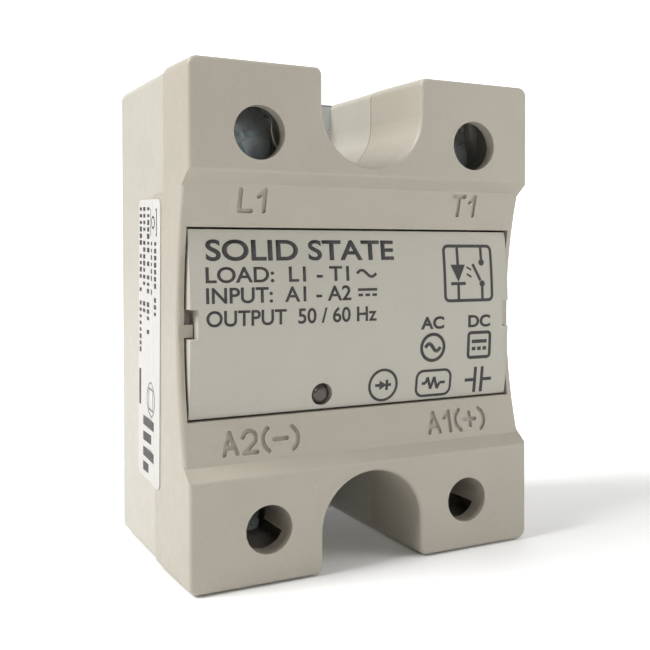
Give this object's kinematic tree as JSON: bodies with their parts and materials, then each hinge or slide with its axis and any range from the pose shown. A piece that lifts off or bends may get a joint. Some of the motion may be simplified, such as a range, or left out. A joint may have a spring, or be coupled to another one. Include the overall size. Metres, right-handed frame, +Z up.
{
  "type": "solid state relay",
  "caption": "Panel-mount solid state relay with clip-on touch cover, four screw terminals, status light guide and metal base plate",
  "frame": {"origin": "centre of the base plate's mounting face", "axes": "+X across to the viewer's right, +Y into the panel, +Z up the relay's length with the load terminals on top"},
  "size_m": [0.0449, 0.0288, 0.0582],
  "materials": {
    "housing_plastic": "fine matte moulded plastic, warm light grey",
    "cover_plastic": "fine matte moulded plastic, warm light grey",
    "plated_plate": "satin nickel plating",
    "ceramic": "unglazed white ceramic",
    "copper": "bare copper",
    "silicon": "dark polished die",
    "tinned_pin": "tinned",
    "nickel_copper": "nickel-plated copper",
    "zinc_steel": "bright zinc plating",
    "zinc_clamp": "bright zinc plating",
    "zinc_screw": "bright bluish zinc plating",
    "tinned_brass": "tinned brass",
    "circuit_board": "green solder resist",
    "black_epoxy": "moulded epoxy",
    "black_chip": "chip resistor glass",
    "ceramic_chip": "sintered ceramic",
    "led_resin": "clear resin",
    "smoked_resin": "smoked clear resin",
    "blue_coating": "dipped epoxy",
    "grey_box": "moulded box",
    "resistor_coat": "lacquer",
    "label_paper": "coated paper"
  },
  "bodies": {
    "housing": {"housing": "housing_plastic", "base_plate": "plated_plate", "ceramic_substrate": "ceramic", "copper_pads": "copper", "thyristor_chips": "silicon", "gate_pins": "tinned_pin", "busbar_L1": "nickel_copper", "busbar_T1": "nickel_copper", "power_nut_L1": "zinc_steel", "power_nut_T1": "zinc_steel", "control_terminal_A1": "tinned_brass", "control_terminal_A2": "tinned_brass", "control_nut_A1": "zinc_steel", "control_nut_A2": "zinc_steel", "driver_board": "circuit_board", "opto_coupler": "black_epoxy", "board_resistors": "black_chip", "board_capacitors": "ceramic_chip", "current_regulator": "black_epoxy", "zener_diode": "black_epoxy", "status_led": "led_resin", "light_guide": "smoked_resin", "varistor": "blue_coating", "snubber_capacitor": "grey_box", "snubber_resistor": "resistor_coat", "rating_label": "label_paper"},
    "cover": {"touch_cover": "cover_plastic", "label_flap": "label_paper"},
    "clamp_L1": {"power_clamp_L1": "zinc_clamp"},
    "screw_L1": {"power_screw_L1": "zinc_screw"},
    "clamp_T1": {"power_clamp_T1": "zinc_clamp"},
    "screw_T1": {"power_screw_T1": "zinc_screw"},
    "clamp_A1": {"control_clamp_A1": "zinc_clamp"},
    "screw_A1": {"control_screw_A1": "zinc_screw"},
    "clamp_A2": {"control_clamp_A2": "zinc_clamp"},
    "screw_A2": {"control_screw_A2": "zinc_screw"}
  },
  "joints": [
    {"name": "cover_pull", "type": "slide", "parent": "housing", "child": "cover", "axis": [0, -1, 0], "range_m": [0, 0.025]},
    {"name": "clamp_L1_slide", "type": "slide", "parent": "housing", "child": "clamp_L1", "axis": [0, 1, 0], "range_m": [0, 0.0031]},
    {"name": "screw_L1_turn", "type": "hinge", "parent": "clamp_L1", "child": "screw_L1", "pos_m": [-0.0141, -0.016, 0.0211], "axis": [0, 1, 0], "range_deg": [0, 1395]},
    {"name": "clamp_T1_slide", "type": "slide", "parent": "housing", "child": "clamp_T1", "axis": [0, 1, 0], "range_m": [0, 0.0031]},
    {"name": "screw_T1_turn", "type": "hinge", "parent": "clamp_T1", "child": "screw_T1", "pos_m": [0.0141, -0.016, 0.0211], "axis": [0, 1, 0], "range_deg": [0, 1395]},
    {"name": "clamp_A1_slide", "type": "slide", "parent": "housing", "child": "clamp_A1", "axis": [0, 1, 0], "range_m": [0, 0.0024]},
    {"name": "screw_A1_turn", "type": "hinge", "parent": "clamp_A1", "child": "screw_A1", "pos_m": [0.0131, -0.016, -0.02285], "axis": [0, 1, 0], "range_deg": [0, 1728]},
    {"name": "clamp_A2_slide", "type": "slide", "parent": "housing", "child": "clamp_A2", "axis": [0, 1, 0], "range_m": [0, 0.0024]},
    {"name": "screw_A2_turn", "type": "hinge", "parent": "clamp_A2", "child": "screw_A2", "pos_m": [-0.0131, -0.016, -0.02285], "axis": [0, 1, 0], "range_deg": [0, 1728]}
  ],
  "couplings": [
    {"joint": "screw_L1_turn", "follows": "clamp_L1_slide", "rad_per_m": 7854},
    {"joint": "screw_T1_turn", "follows": "clamp_T1_slide", "rad_per_m": 7854},
    {"joint": "screw_A1_turn", "follows": "clamp_A1_slide", "rad_per_m": 12566},
    {"joint": "screw_A2_turn", "follows": "clamp_A2_slide", "rad_per_m": 12566}
  ]
}
